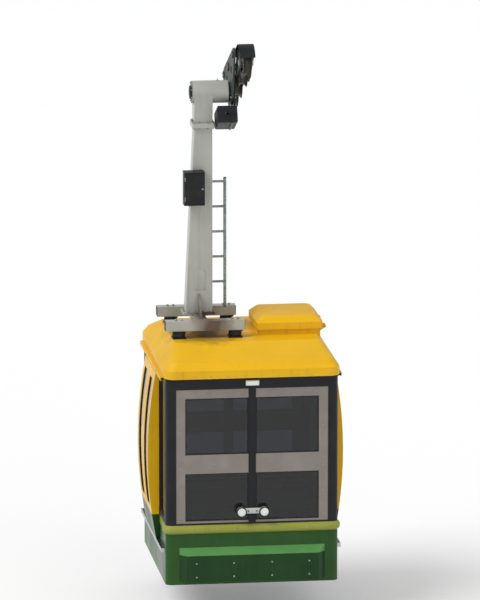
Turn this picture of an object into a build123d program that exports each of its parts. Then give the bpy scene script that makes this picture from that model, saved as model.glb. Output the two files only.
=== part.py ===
# Small reversible cable car vehicle: wheel carriage on the track rope, one-sided hanger and passenger cabin.
# Frame: origin on the track rope's axis at the middle of the carriage and on the hanger's swing axis.
# +Z is up, X runs across the rope, and the rope rises towards -Y, which is the uphill end.
from build123d import *

import os
from math import cos, radians, sin

os.makedirs("parts", exist_ok=True)

# Ropes, in millimetres and degrees
rope_slope = 25
rope_radius = 20
haul_rope_radius = 11
haul_rope_drop = 295
haul_rope_side = -170
clamp_length = 300
clamp_width = 220
clamp_height = 190
arm_thick = 18
arm_shoulder = 70
arm_hand = 90
arm_top = 60

# Wheels and rockers of the carriage
tread_radius = 140
flange_radius = 175
wheel_width = 90
groove_width = 46
groove_floor = 10
wheel_hub_radius = 58
wheel_spacing = 370
axle_radius = 25
rocker_spacing = 860
rocker_pin_radius = 30
rocker_pin_above_wheels = 140
rocker_plate = 14
rocker_gap = 51
cover_sheet = 6
cover_half_width = 84
cover_clearance = 20

# Main beam of the carriage
beam_gap = 90
beam_plate = 20
beam_end_radius = 75
beam_pivot_radius = 150
beam_hole_place = 205
beam_hole_height = 185
beam_hole_radius = 48
right_beam_drop = 200
right_beam_radius = 95
spacer_radius = 38
spacer_height = 275

# Hanger
pivot_radius = 50
pivot_length = 560
head_radius = 125
head_inner = 140
head_outer = 530
column_side = -415
column_width = 200
column_depth = 180
column_foot_width = 300
head_length = 330
joint_flange_size = 250
joint_flange_thick = 25
hanger_drop = 2660
base_plate_out = 30
base_plate_thick = 25
foot_beam_width = 120
foot_beam_height = 110
foot_length = 900
gusset_thick = 14
gusset_side = 230
foot_width = 870
foot_side = -440
mount_spacing = 620
mount_size = 150
mount_height = 85
ladder_side = -168
ladder_top = -960
ladder_foot_gap = 60
ladder_tube = 17
rung_radius = 13
rung_pitch = 280
box_width = 230
box_depth = 150
box_height = 370
box_side = -530
box_top = -850

# Cabin: plan sizes and heights above its lowest edge
cabin_width = 1900
cabin_length = 2100
corner_radius = 70
wall = 40
post = 100
floor_top = 380
floor_thick = 50
apron_top = 570
belt_top = 665
belt_out = 28
wall_top = 2310
roof_side_out = 15
roof_end_out = 60
roof_height = 310
roof_skin = 40
roof_seat = 70
ceiling_thick = 20

# Roof sections from the eave up: height above the walls, inset across and along, corner radius
ROOF_SECTIONS = (
    (0, 0, 0, 120),
    (90, 0, 0, 120),
    (170, 60, 65, 100),
    (roof_height, 165, 470, 60),
)

# Belt sections from the apron up: height, how far out
BELT_SECTIONS = (
    (0, 0),
    (16, belt_out * 0.7),
    (34, belt_out),
    (belt_top - apron_top - 34, belt_out),
    (belt_top - apron_top - 16, belt_out * 0.7),
    (belt_top - apron_top, 0),
)

# Doors
doorway_width = 860
leaf_width = 470
leaf_thick = 36
leaf_bow = 90
leaf_edge = 20
leaf_lap = 20
leaf_gap = 6
leaf_bottom = 400
leaf_rail_gap = 20
leaf_frame = 95
leaf_window_bottom = 740
leaf_split = 10
rail_width = 48
rail_height = 40
rail_wall = 6
rail_slot = 16
trolley_width = 30
trolley_height = 20
trolley_stem = 10
trolley_length = 60
trolley_places = (-150, 150)
groove_depth = 20
groove_slot = 12
guide_thick = 8
guide_depth = 16
slide_play = 0.3

# Windows
surround_border = 115
mullion_width = 80
frame_bar = 100
surround_top = 130
waist_low = 1240
waist_high = 1450
window_bottom = 685
pane_thick = 8
side_border = 60

# Hatch in the roof
hatch_from_side = 445
hatch_clear = 620
coaming_wall = 30
coaming_height = 115
lid_wall = 20
lid_skirt = 55
lid_height = 90
lid_taper = 68
lid_play = 6
lid_seat = 0.3
hinge_radius = 9
knuckle_radius = 17
hinge_out = 34
hinge_drop = 70
hinge_places = (-210, 210)
hinge_width = 40
hinge_cheek = 10
hinge_side_play = 1

# Underframe, bumpers and fittings
rail_beam_width = 100
rail_beam_height = 140
rail_beam_side = 560
cross_beam_width = 80
cross_beam_places = (-820, 0, 820)
bumper_inset = 150
bumper_out = 80
bumper_taper = 70
bumper_bottom = 45
bumper_shoulder = 340
bumper_top = 415
sill_out = 42
sill_thick = 45
sill_play = 6
bench_height = 800
bench_depth = 330
bench_inset = 130
bracket_inset = 160
bracket_drop = 260
bracket_thick = 20
bench_slats = 5
bench_slat_gap = 14
bench_slat_thick = 28
grab_radius = 15
grab_drop = 140
grab_place = 600
grab_inset = 160
grab_post_inset = 100
pole_inset = 50
pole_place = 480
lamp_radius = 55
lamp_depth = 60
lamp_side = 125
lamp_height = 815
lamp_bar_depth = 30
marker_width = 150
marker_height = 60
marker_out = 40
marker_middle = 2248

running_play = 0.1

# Sizes worked out from those above
roof_top = wall_top + roof_height
cabin_bottom = -(hanger_drop + roof_top)
half_width = cabin_width / 2
half_length = cabin_length / 2
wheel_height = rope_radius + tread_radius
rocker_pin_height = wheel_height + rocker_pin_above_wheels
slope = radians(rope_slope)
downhill = Vector(0, cos(slope), -sin(slope))
off_rope = Vector(0, sin(slope), cos(slope))
leaf_top = wall_top - rail_height - leaf_rail_gap
doorway_top = leaf_top - leaf_lap
hatch_side = half_width - hatch_from_side
coaming_top = roof_top + coaming_height
bench_length = cabin_width - 2 * wall - 2 * bench_inset
grab_height = wall_top - grab_drop
grab_length = cabin_width - 2 * wall - 2 * grab_inset
pole_side = half_width - wall - pole_inset
bumper_width = cabin_width - 2 * bumper_inset
foot_bottom = cabin_bottom + roof_top + mount_height
foot_top = foot_bottom + foot_beam_height
column_face = column_side + column_width / 2
column_foot_side = column_face - column_foot_width / 2

# Short names for the two ends: the uphill end is at -Y
ENDS = (("up", -1), ("down", 1))
SIDES = (("left", -1), ("right", 1))


def at_height(height):
    """A level plane at a height above the cabin's lowest edge."""
    return Plane.XY.offset(cabin_bottom + height)


def across_cabin(place):
    """An upright plane across the cabin at a Y place: X and height above the lowest edge, facing -Y."""
    return Plane(origin=(0, place, cabin_bottom), x_dir=(1, 0, 0), z_dir=(0, -1, 0))


def along_cabin(place):
    """An upright plane along the cabin at an X place: Y and height above the lowest edge, facing +X."""
    return Plane(origin=(place, 0, cabin_bottom), x_dir=(0, 1, 0), z_dir=(1, 0, 0))


def beside_rope(place):
    """A plane along the rope at an X place: distance downhill and distance above the rope, facing +X."""
    return Plane(origin=(place, 0, 0), x_dir=tuple(downhill), z_dir=(1, 0, 0))


def save(part, name):
    part.label = name
    export_step(part, f"parts/{name}.step")


# Carriage wheels: a hub and web with the liner that rides the rope, and a flange ring on each side
def make_wheel(place, name):
    centre = downhill * place + off_rope * wheel_height
    half = wheel_width / 2
    groove = groove_width / 2
    web = half * 0.35
    liner_top = tread_radius + 6
    ring_bore = tread_radius - 22
    section = Plane(origin=centre, x_dir=(1, 0, 0), z_dir=tuple(downhill))
    with BuildPart() as wheel:
        with BuildSketch(section):
            with BuildLine():
                Polyline(
                    (groove, liner_top),
                    (groove, ring_bore),
                    (web, ring_bore - 12),
                    (web, wheel_hub_radius + 8),
                    (half, wheel_hub_radius),
                    (half, axle_radius + running_play),
                    (-half, axle_radius + running_play),
                    (-half, wheel_hub_radius),
                    (-web, wheel_hub_radius + 8),
                    (-web, ring_bore - 12),
                    (-groove, ring_bore),
                    (-groove, liner_top),
                    (-groove_floor, tread_radius),
                    (groove_floor, tread_radius),
                    close=True,
                )
            make_face()
        revolve(axis=Axis(centre, (1, 0, 0)))
    with BuildPart() as rings:
        for side in (-1, 1):
            with BuildSketch(section):
                with BuildLine():
                    Polyline(
                        (side * groove, ring_bore),
                        (side * half, ring_bore),
                        (side * half, flange_radius),
                        (side * groove, liner_top),
                        close=True,
                    )
                make_face()
            revolve(axis=Axis(centre, (1, 0, 0)))
    save(wheel.part, f"wheel_{name}")
    save(rings.part, f"wheel_flanges_{name}")


# Rocker: two plates that carry a pair of wheels and tilt about the pin above them
def make_rocker(place, name):
    with BuildPart() as rocker:
        for side in (-1, 1):
            start = rocker_gap if side > 0 else -rocker_gap - rocker_plate
            with BuildSketch(beside_rope(start)):
                with BuildSketch(mode=Mode.PRIVATE) as corners:
                    with Locations(
                        (place - wheel_spacing / 2, wheel_height),
                        (place + wheel_spacing / 2, wheel_height),
                    ):
                        Circle(52)
                    with Locations((place, rocker_pin_height)):
                        Circle(50)
                make_hull(corners.sketch.edges())
                with Locations((place, rocker_pin_height)):
                    Rectangle(
                        2 * 45,
                        2 * (wheel_spacing_top() - rocker_pin_height),
                    )
                with Locations((place, rocker_pin_height)):
                    Circle(rocker_pin_radius + running_play, mode=Mode.SUBTRACT)
            extrude(amount=rocker_plate)
        with BuildSketch(beside_rope(-rocker_gap)):
            with Locations((place, rocker_pin_height)):
                Circle(rocker_pin_radius + 14)
                Circle(rocker_pin_radius + running_play, mode=Mode.SUBTRACT)
        extrude(amount=2 * rocker_gap)
        with BuildSketch(beside_rope(-rocker_gap - rocker_plate - 10)):
            with Locations(
                (place - wheel_spacing / 2, wheel_height),
                (place + wheel_spacing / 2, wheel_height),
            ):
                Circle(axle_radius)
        extrude(amount=2 * (rocker_gap + rocker_plate + 10))
    save(rocker.part, name)


def wheel_spacing_top():
    """Height above the rope of the cover's underside over the wheels."""
    return wheel_height + flange_radius + cover_clearance


# Wheel cover: a bent sheet round the outer wheel and over both
def make_cover(place, outward, name):
    inner = flange_radius + cover_clearance
    outer = inner + cover_sheet
    far = place + outward * wheel_spacing / 2
    near = place - outward * (wheel_spacing / 2 + 30)
    with BuildPart() as cover:
        with BuildSketch(beside_rope(-cover_half_width)):
            with BuildLine():
                start = (far + outward * inner, wheel_height)
                Line(start, (far + outward * outer, wheel_height))
                ThreePointArc(
                    (far + outward * outer, wheel_height),
                    (far + outward * outer * cos(radians(45)), wheel_height + outer * sin(radians(45))),
                    (far, wheel_height + outer),
                )
                Polyline((far, wheel_height + outer), (near, wheel_height + outer), (near, wheel_height + inner))
                Line((near, wheel_height + inner), (far, wheel_height + inner))
                ThreePointArc(
                    (far, wheel_height + inner),
                    (far + outward * inner * cos(radians(45)), wheel_height + inner * sin(radians(45))),
                    start,
                )
            make_face()
        extrude(amount=2 * cover_half_width)
    save(cover.part, name)


for end, sign in ENDS:
    rocker_place = sign * rocker_spacing / 2
    make_rocker(rocker_place, f"rocker_{end}")
    make_cover(rocker_place, sign, f"wheel_cover_{end}")
    make_wheel(rocker_place + sign * wheel_spacing / 2, f"{end}_outer")
    make_wheel(rocker_place - sign * wheel_spacing / 2, f"{end}_inner")


# Main beam: two plates joined by the rocker pins and a spacer; the left one carries the hanger
def make_beam_plate(start, pivot_height, pivot_corner, name):
    with BuildPart() as plate:
        with BuildSketch(beside_rope(start)):
            with BuildSketch(mode=Mode.PRIVATE) as corners:
                with Locations(
                    (-rocker_spacing / 2, rocker_pin_height),
                    (rocker_spacing / 2, rocker_pin_height),
                ):
                    Circle(beam_end_radius)
                with Locations((0, pivot_height)):
                    Circle(pivot_corner)
            make_hull(corners.sketch.edges())
            with Locations(
                (-rocker_spacing / 2, rocker_pin_height),
                (rocker_spacing / 2, rocker_pin_height),
            ):
                Circle(rocker_pin_radius, mode=Mode.SUBTRACT)
            with Locations((0, spacer_height)):
                Circle(spacer_radius, mode=Mode.SUBTRACT)
            if pivot_height == 0:
                Circle(pivot_radius, mode=Mode.SUBTRACT)
                with Locations((-beam_hole_place, beam_hole_height), (beam_hole_place, beam_hole_height)):
                    Circle(beam_hole_radius, mode=Mode.SUBTRACT)
        extrude(amount=beam_plate)
    save(plate.part, name)


make_beam_plate(-beam_gap - beam_plate, 0, beam_pivot_radius, "beam_plate_left")
make_beam_plate(beam_gap, right_beam_drop, right_beam_radius, "beam_plate_right")

# Pins of the carriage: rocker pins, spacer, and the stub axle on the left that the hanger swings on
with BuildPart() as carriage_pins:
    for place, height, radius in (
        (-rocker_spacing / 2, rocker_pin_height, rocker_pin_radius),
        (rocker_spacing / 2, rocker_pin_height, rocker_pin_radius),
        (0, spacer_height, spacer_radius),
    ):
        with BuildSketch(beside_rope(-beam_gap - beam_plate)):
            with Locations((place, height)):
                Circle(radius)
        extrude(amount=2 * (beam_gap + beam_plate))
        for start in (-beam_gap - beam_plate - 12, beam_gap + beam_plate):
            with BuildSketch(beside_rope(start)):
                with Locations((place, height)):
                    Circle(radius + 10)
            extrude(amount=12)
    with BuildSketch(beside_rope(-pivot_length)):
        Circle(pivot_radius)
    extrude(amount=pivot_length - beam_gap)
    with BuildSketch(beside_rope(-beam_gap - beam_plate - 25)):
        Circle(pivot_radius + 50)
    extrude(amount=25)
    with BuildSketch(beside_rope(-head_outer - 5 - 22)):
        RegularPolygon(pivot_radius + 26, 6)
    extrude(amount=22)
save(carriage_pins.part, "carriage_pins")

# Haul rope arm and clamp, below the track rope
with BuildPart() as haul_arm:
    with BuildSketch(beside_rope(-beam_gap)):
        with BuildSketch(mode=Mode.PRIVATE) as corners:
            with Locations((-arm_shoulder, -arm_top), (arm_shoulder, -arm_top)):
                Circle(40)
            with Locations((-arm_hand, arm_top - haul_rope_drop), (arm_hand, arm_top - haul_rope_drop)):
                Circle(30)
        make_hull(corners.sketch.edges())
        with Locations((0, -haul_rope_drop)):
            Rectangle(4 * arm_hand, clamp_height, mode=Mode.SUBTRACT)
    extrude(amount=arm_thick)
save(haul_arm.part, "haul_rope_arm")

with BuildPart() as haul_clamp:
    with BuildSketch(
        Plane(
            origin=downhill * (-clamp_length / 2) + off_rope * -haul_rope_drop + Vector(haul_rope_side, 0, 0),
            x_dir=(1, 0, 0),
            z_dir=tuple(downhill),
        )
    ):
        RectangleRounded(clamp_width, clamp_height, 18)
        Circle(haul_rope_radius, mode=Mode.SUBTRACT)
        with Locations((clamp_width / 4, 0)):
            Rectangle(clamp_width / 2, 4, mode=Mode.SUBTRACT)
    extrude(amount=clamp_length)
save(haul_clamp.part, "haul_rope_clamp")

# Hanger head: bearing tube on the pivot with the column's upper stub below it
with BuildPart() as head:
    with BuildSketch(Plane.YZ.offset(-head_outer)):
        Circle(head_radius)
        Circle(pivot_radius + running_play, mode=Mode.SUBTRACT)
    extrude(amount=head_outer - head_inner)
    with BuildSketch(Plane.YZ.offset(column_side - column_width / 2)):
        with BuildSketch(mode=Mode.PRIVATE) as corners:
            Circle(head_radius)
            with Locations((0, -head_length / 2)):
                Rectangle(column_depth, head_length)
        make_hull(corners.sketch.edges())
        Circle(head_radius - 10, mode=Mode.SUBTRACT)
    extrude(amount=column_width)
    with BuildSketch(Plane.XY.offset(-head_length - joint_flange_thick)):
        with Locations((column_side, 0)):
            RectangleRounded(joint_flange_size, joint_flange_size, 20)
    extrude(amount=joint_flange_thick)
save(head.part, "hanger_head")

# Hanger column: a tapered box between its bolted flange and the foot
column_top = -head_length - joint_flange_thick
with BuildPart() as column:
    with BuildSketch(Plane.XY.offset(foot_top + base_plate_thick)):
        with Locations((column_foot_side, 0)):
            RectangleRounded(column_foot_width, column_depth, 12)
    with BuildSketch(Plane.XY.offset(column_top - joint_flange_thick)):
        with Locations((column_side, 0)):
            RectangleRounded(column_width, column_depth, 12)
    loft(ruled=True)
    with BuildSketch(Plane.XY.offset(column_top - joint_flange_thick)):
        with Locations((column_side, 0)):
            RectangleRounded(joint_flange_size, joint_flange_size, 20)
    extrude(amount=joint_flange_thick)
save(column.part, "hanger_column")

# Hanger foot: one beam along the cabin, two across it, base plate and gussets under the column
with BuildPart() as foot:
    with BuildSketch(Plane.XY.offset(foot_bottom)):
        with Locations((column_foot_side, 0)):
            Rectangle(foot_beam_width, foot_length)
        with Locations((foot_side, 0)):
            with Locations(
                (0, -(foot_length - foot_beam_width) / 2),
                (0, (foot_length - foot_beam_width) / 2),
            ):
                Rectangle(foot_width, foot_beam_width)
    extrude(amount=foot_beam_height)
    with BuildSketch(Plane.XY.offset(foot_top)):
        with Locations((column_foot_side, 0)):
            RectangleRounded(column_foot_width + 2 * base_plate_out, column_depth + 2 * base_plate_out, 15)
    extrude(amount=base_plate_thick)
    for side in (-1, 1):
        with BuildSketch(Plane.YZ.offset(column_foot_side - gusset_thick / 2)):
            with BuildLine():
                Polyline(
                    (side * column_depth / 2, foot_top),
                    (side * (column_depth / 2 + gusset_side), foot_top),
                    (side * (column_depth / 2 + gusset_side), foot_top + 25),
                    (side * (column_depth / 2 + 25), foot_top + gusset_side),
                    (side * column_depth / 2, foot_top + gusset_side),
                    close=True,
                )
            make_face()
        extrude(amount=gusset_thick)
save(foot.part, "hanger_foot")

with BuildPart() as mounts:
    with BuildSketch(at_height(roof_top)):
        with Locations((column_side, 0)):
            with GridLocations(mount_spacing, foot_length - foot_beam_width, 2, 2):
                Rectangle(mount_size, mount_size)
    extrude(amount=mount_height)
save(mounts.part, "rubber_mounts")

# Ladder: one stile beside the column, with rungs fixed to the column's right face
rung_count = int((ladder_top - foot_top - 120) // rung_pitch) + 1
with BuildPart() as ladder:
    with BuildSketch(Plane.XY.offset(foot_top + ladder_foot_gap)):
        with Locations((ladder_side, 0)):
            Circle(ladder_tube)
    extrude(amount=ladder_top - foot_top - ladder_foot_gap)
    for n in range(rung_count):
        with BuildSketch(Plane.YZ.offset(column_face)):
            with Locations((0, ladder_top - 40 - n * rung_pitch)):
                Circle(rung_radius)
        extrude(amount=ladder_side - column_face)
save(ladder.part, "ladder")

with BuildPart() as box:
    with BuildSketch(Plane.XY.offset(box_top - box_height)):
        with Locations((box_side, -(column_depth + box_depth) / 2)):
            RectangleRounded(box_width, box_depth, 15)
    extrude(amount=box_height)
save(box.part, "brake_box")

# Cabin floor and underframe
floor_bottom = floor_top - floor_thick
with BuildPart() as floor:
    with BuildSketch(at_height(floor_bottom)):
        Rectangle(cabin_width - 2 * wall, cabin_length - 2 * wall)
        with GridLocations(cabin_width - 2 * wall, cabin_length - 2 * wall, 2, 2):
            Rectangle(2 * (post - wall), 2 * (post - wall), mode=Mode.SUBTRACT)
    extrude(amount=floor_thick)
save(floor.part, "floor_panel")

with BuildPart() as underframe:
    with BuildSketch(at_height(floor_bottom - rail_beam_height)):
        with GridLocations(2 * rail_beam_side, 1, 2, 1):
            Rectangle(rail_beam_width, cabin_length - 2 * wall)
        for place in cross_beam_places:
            with Locations((0, place)):
                Rectangle(2 * rail_beam_side, cross_beam_width)
    extrude(amount=rail_beam_height)
save(underframe.part, "underframe")


# Lower body: end pieces with rounded corners, side pieces between them, and the belt above
def end_ring(out=0, inner=wall, reach=post):
    """Sketch of both ends of the cabin's wall ring, each with a short return along the sides."""
    RectangleRounded(cabin_width + 2 * out, cabin_length + 2 * out, corner_radius + out)
    Rectangle(cabin_width - 2 * inner, cabin_length - 2 * inner, mode=Mode.SUBTRACT)
    Rectangle(cabin_width + 4 * out + 10, cabin_length - 2 * reach, mode=Mode.SUBTRACT)


with BuildPart() as end_aprons:
    with BuildSketch(at_height(0)):
        end_ring()
    extrude(amount=apron_top)
save(end_aprons.part, "end_aprons")

panel_length = half_length - post - doorway_width / 2
panel_centre = (half_length - post + doorway_width / 2) / 2
with BuildPart() as side_aprons:
    for side_name, side in SIDES:
        with BuildSketch(along_cabin(side * (half_width - wall / 2))):
            with Locations((0, apron_top / 2)):
                Rectangle(cabin_length - 2 * post, apron_top)
            with Locations((0, apron_top)):
                Rectangle(doorway_width, 2 * (apron_top - floor_top), mode=Mode.SUBTRACT)
        extrude(amount=wall / 2, both=True)
save(side_aprons.part, "side_aprons")

with BuildPart() as end_belts:
    for lower, upper in zip(BELT_SECTIONS, BELT_SECTIONS[1:]):
        for height, out in (lower, upper):
            with BuildSketch(at_height(apron_top + height)):
                RectangleRounded(cabin_width + 2 * out, cabin_length + 2 * out, corner_radius + out)
        loft(ruled=True)
    with BuildSketch(at_height(apron_top)):
        Rectangle(cabin_width - 2 * wall, cabin_length - 2 * wall)
        Rectangle(cabin_width + 4 * belt_out, cabin_length - 2 * post)
    extrude(amount=belt_top - apron_top, mode=Mode.SUBTRACT)
save(end_belts.part, "end_belts")

with BuildPart() as side_belts:
    with BuildSketch(at_height(apron_top)):
        with GridLocations(cabin_width - wall, 2 * panel_centre, 2, 2):
            Rectangle(wall, panel_length)
    extrude(amount=belt_top - apron_top)
save(side_belts.part, "side_belts")

with BuildPart() as bumpers:
    for end, sign in ENDS:
        for out, width, top in (
            (0, bumper_width, bumper_top),
            (bumper_out, bumper_width - 2 * bumper_taper, bumper_shoulder),
        ):
            with BuildSketch(across_cabin(sign * (half_length + out))):
                with Locations((0, (bumper_bottom + top) / 2)):
                    Rectangle(width, top - bumper_bottom)
        loft(ruled=True)
save(bumpers.part, "bumpers")

leaf_middle = half_width + leaf_gap + leaf_thick / 2
sill_top = leaf_bottom - sill_play
with BuildPart() as sills:
    with BuildSketch(at_height(sill_top - sill_thick)):
        with GridLocations(cabin_width + sill_out, 1, 2, 1):
            Rectangle(sill_out, cabin_length - 2 * post)
    extrude(amount=sill_thick)
    with BuildSketch(at_height(sill_top - groove_depth)):
        with GridLocations(2 * leaf_middle, 1, 2, 1):
            Rectangle(groove_slot, cabin_length - 2 * post - 40)
    extrude(amount=groove_depth, mode=Mode.SUBTRACT)
save(sills.part, "door_sills")

# Upper body: corner posts, end windows and side windows
with BuildPart() as posts:
    with BuildSketch(at_height(belt_top)):
        RectangleRounded(cabin_width, cabin_length, corner_radius)
        Rectangle(cabin_width - 2 * post, cabin_length + 10, mode=Mode.SUBTRACT)
        Rectangle(cabin_width + 10, cabin_length - 2 * post, mode=Mode.SUBTRACT)
    extrude(amount=wall_top - belt_top)
save(posts.part, "corner_posts")

surround_width = cabin_width - 2 * post
opening_half = half_width - surround_border
surround_mid = (belt_top + wall_top) / 2
opening_top = wall_top - surround_top
opening_height = opening_top - window_bottom
with BuildPart() as surrounds:
    for end, sign in ENDS:
        with BuildSketch(across_cabin(sign * (half_length - wall / 2))):
            with Locations((0, surround_mid)):
                Rectangle(surround_width, wall_top - belt_top)
            for side in (-1, 1):
                middle = side * (opening_half + mullion_width / 2) / 2
                with Locations((middle, window_bottom + opening_height / 2)):
                    Rectangle(opening_half - mullion_width / 2, opening_height, mode=Mode.SUBTRACT)
        extrude(amount=wall / 2, both=True)
save(surrounds.part, "end_surrounds")

frame_width = opening_half - mullion_width / 2
pane_rows = ((window_bottom + 22, waist_low), (waist_high, opening_top - frame_bar))
with BuildPart() as frames:
    for end, sign in ENDS:
        with BuildSketch(across_cabin(sign * (half_length - wall / 2))):
            for side in (-1, 1):
                middle = side * (opening_half + mullion_width / 2) / 2
                with Locations((middle, window_bottom + opening_height / 2)):
                    Rectangle(frame_width, opening_height)
                clear_centre = middle - side * frame_bar / 2
                for low, high in pane_rows:
                    with Locations((clear_centre, (low + high) / 2)):
                        Rectangle(frame_width - frame_bar, high - low, mode=Mode.SUBTRACT)
        extrude(amount=wall / 2 - 4, both=True)
save(frames.part, "end_frames")

with BuildPart() as end_panes:
    for end, sign in ENDS:
        with BuildSketch(across_cabin(sign * (half_length - wall / 2))):
            for side in (-1, 1):
                middle = side * (opening_half + mullion_width / 2) / 2 - side * frame_bar / 2
                for low, high in pane_rows:
                    with Locations((middle, (low + high) / 2)):
                        Rectangle(frame_width - frame_bar, high - low)
        extrude(amount=pane_thick / 2, both=True)
save(end_panes.part, "end_panes")

side_window = panel_length - 2 * side_border
side_window_low = belt_top + side_border
side_window_height = wall_top - side_border - side_window_low
with BuildPart() as side_surrounds:
    for side_name, side in SIDES:
        with BuildSketch(along_cabin(side * (half_width - wall / 2))):
            with Locations((0, surround_mid)):
                Rectangle(cabin_length - 2 * post, wall_top - belt_top)
            with Locations((0, (belt_top + doorway_top) / 2)):
                Rectangle(doorway_width, doorway_top - belt_top, mode=Mode.SUBTRACT)
            with Locations((0, side_window_low + side_window_height / 2)):
                with GridLocations(2 * panel_centre, 1, 2, 1):
                    RectangleRounded(side_window, side_window_height, 40, mode=Mode.SUBTRACT)
        extrude(amount=wall / 2, both=True)
save(side_surrounds.part, "side_surrounds")

with BuildPart() as side_panes:
    for side_name, side in SIDES:
        with BuildSketch(along_cabin(side * (half_width - wall / 2))):
            with Locations((0, side_window_low + side_window_height / 2)):
                with GridLocations(2 * panel_centre, 1, 2, 1):
                    RectangleRounded(side_window, side_window_height, 40)
        extrude(amount=pane_thick / 2, both=True)
save(side_panes.part, "side_panes")

# Roof: upright eave, rounded shoulder and rising top over a hollow, with the hatch opening through it
hatch_outer = hatch_clear + 2 * coaming_wall
eave_half_width = half_width + roof_side_out
eave_half_length = half_length + roof_end_out
with BuildPart() as roof:
    for lower, upper in zip(ROOF_SECTIONS, ROOF_SECTIONS[1:]):
        for height, across, along, corner in (lower, upper):
            with BuildSketch(at_height(wall_top + height)):
                RectangleRounded(2 * (eave_half_width - across), 2 * (eave_half_length - along), corner)
        loft(ruled=True)
    for lower, upper in zip(ROOF_SECTIONS[1:], ROOF_SECTIONS[2:]):
        for height, across, along, corner in (lower, upper):
            with BuildSketch(at_height(wall_top + height - roof_skin)):
                Rectangle(
                    2 * (eave_half_width - across - roof_seat),
                    2 * (eave_half_length - along - roof_seat),
                )
        loft(ruled=True, mode=Mode.SUBTRACT)
    with BuildSketch(at_height(wall_top)):
        Rectangle(2 * (eave_half_width - roof_seat), 2 * (half_length - wall))
    extrude(amount=ROOF_SECTIONS[1][0] - roof_skin, mode=Mode.SUBTRACT)
    with BuildSketch(at_height(wall_top)):
        with Locations((hatch_side, 0)):
            Rectangle(hatch_outer, hatch_outer)
    extrude(amount=roof_height, mode=Mode.SUBTRACT)
save(roof.part, "roof_shell")

ceiling_low = wall_top - ceiling_thick
with BuildPart() as ceiling:
    with BuildSketch(at_height(ceiling_low)):
        Rectangle(cabin_width - 2 * wall, cabin_length - 2 * wall)
        with GridLocations(cabin_width - 2 * wall, cabin_length - 2 * wall, 2, 2):
            Rectangle(2 * (post - wall), 2 * (post - wall), mode=Mode.SUBTRACT)
        with Locations((hatch_side, 0)):
            Rectangle(hatch_outer, hatch_outer, mode=Mode.SUBTRACT)
    extrude(amount=ceiling_thick)
save(ceiling.part, "ceiling_panel")

# Hatch: coaming through the roof with its hinge brackets on the outer side, and a lid with a skirt
lid_inner = hatch_outer + 2 * lid_play
lid_outer = lid_inner + 2 * lid_wall
lid_low = coaming_top - lid_skirt
hinge_line = hatch_side + lid_outer / 2 + hinge_out
hinge_height = lid_low + 4
coaming_face = hatch_side + hatch_outer / 2
pin_length = hinge_width + 2 * hinge_side_play + 2 * hinge_cheek
with BuildPart() as coaming:
    with BuildSketch(at_height(ceiling_low)):
        with Locations((hatch_side, 0)):
            Rectangle(hatch_outer, hatch_outer)
            Rectangle(hatch_clear, hatch_clear, mode=Mode.SUBTRACT)
    extrude(amount=coaming_top - ceiling_low)
    for place in hinge_places:
        for side in (-1, 1):
            cheek_middle = place + side * (hinge_width / 2 + hinge_side_play + hinge_cheek / 2)
            with BuildSketch(across_cabin(cheek_middle + hinge_cheek / 2)):
                with BuildLine():
                    Polyline(
                        (coaming_face - 10, hinge_height - hinge_drop),
                        (coaming_face - 10, hinge_height - 12),
                        (hinge_line, hinge_height - 12),
                        (hinge_line + knuckle_radius, hinge_height),
                        (hinge_line + knuckle_radius, hinge_height - 14),
                        close=True,
                    )
                make_face()
                with Locations((hinge_line, hinge_height)):
                    Circle(knuckle_radius)
            extrude(amount=hinge_cheek)
        with BuildSketch(across_cabin(place + pin_length / 2)):
            with Locations((hinge_line, hinge_height)):
                Circle(hinge_radius)
        extrude(amount=pin_length)
save(coaming.part, "hatch_coaming")

lid_shoulder = coaming_top + lid_seat + lid_wall
lid_top = coaming_top + lid_height
with BuildPart() as lid:
    with BuildSketch(at_height(lid_low)):
        with Locations((hatch_side, 0)):
            RectangleRounded(lid_outer, lid_outer, 30)
    extrude(amount=lid_shoulder - lid_low)
    for height, inset in ((lid_shoulder, 0), (lid_top, lid_taper)):
        with BuildSketch(at_height(height)):
            with Locations((hatch_side, 0)):
                RectangleRounded(lid_outer - 2 * inset, lid_outer - 2 * inset, 30 + inset / 2)
    loft(ruled=True)
    with BuildSketch(at_height(lid_low)):
        with Locations((hatch_side, 0)):
            Rectangle(lid_inner, lid_inner)
    extrude(amount=lid_skirt + lid_seat, mode=Mode.SUBTRACT)
    for height, inset in ((coaming_top + lid_seat, 0), (lid_top - lid_wall, lid_taper - lid_wall)):
        with BuildSketch(at_height(height)):
            with Locations((hatch_side, 0)):
                Rectangle(hatch_clear - 2 * inset, hatch_clear - 2 * inset)
    loft(ruled=True, mode=Mode.SUBTRACT)
    for place in hinge_places:
        with BuildSketch(across_cabin(place + hinge_width / 2)):
            with BuildLine():
                Polyline(
                    (hatch_side + lid_outer / 2 - lid_wall / 2, hinge_height + 2 * knuckle_radius),
                    (hinge_line, hinge_height + knuckle_radius),
                    (hinge_line, hinge_height),
                    (hatch_side + lid_outer / 2 - lid_wall / 2, hinge_height),
                    close=True,
                )
            make_face()
            with Locations((hinge_line, hinge_height)):
                Circle(knuckle_radius)
                Circle(hinge_radius + running_play, mode=Mode.SUBTRACT)
        extrude(amount=hinge_width)
save(lid.part, "hatch_lid")

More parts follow.
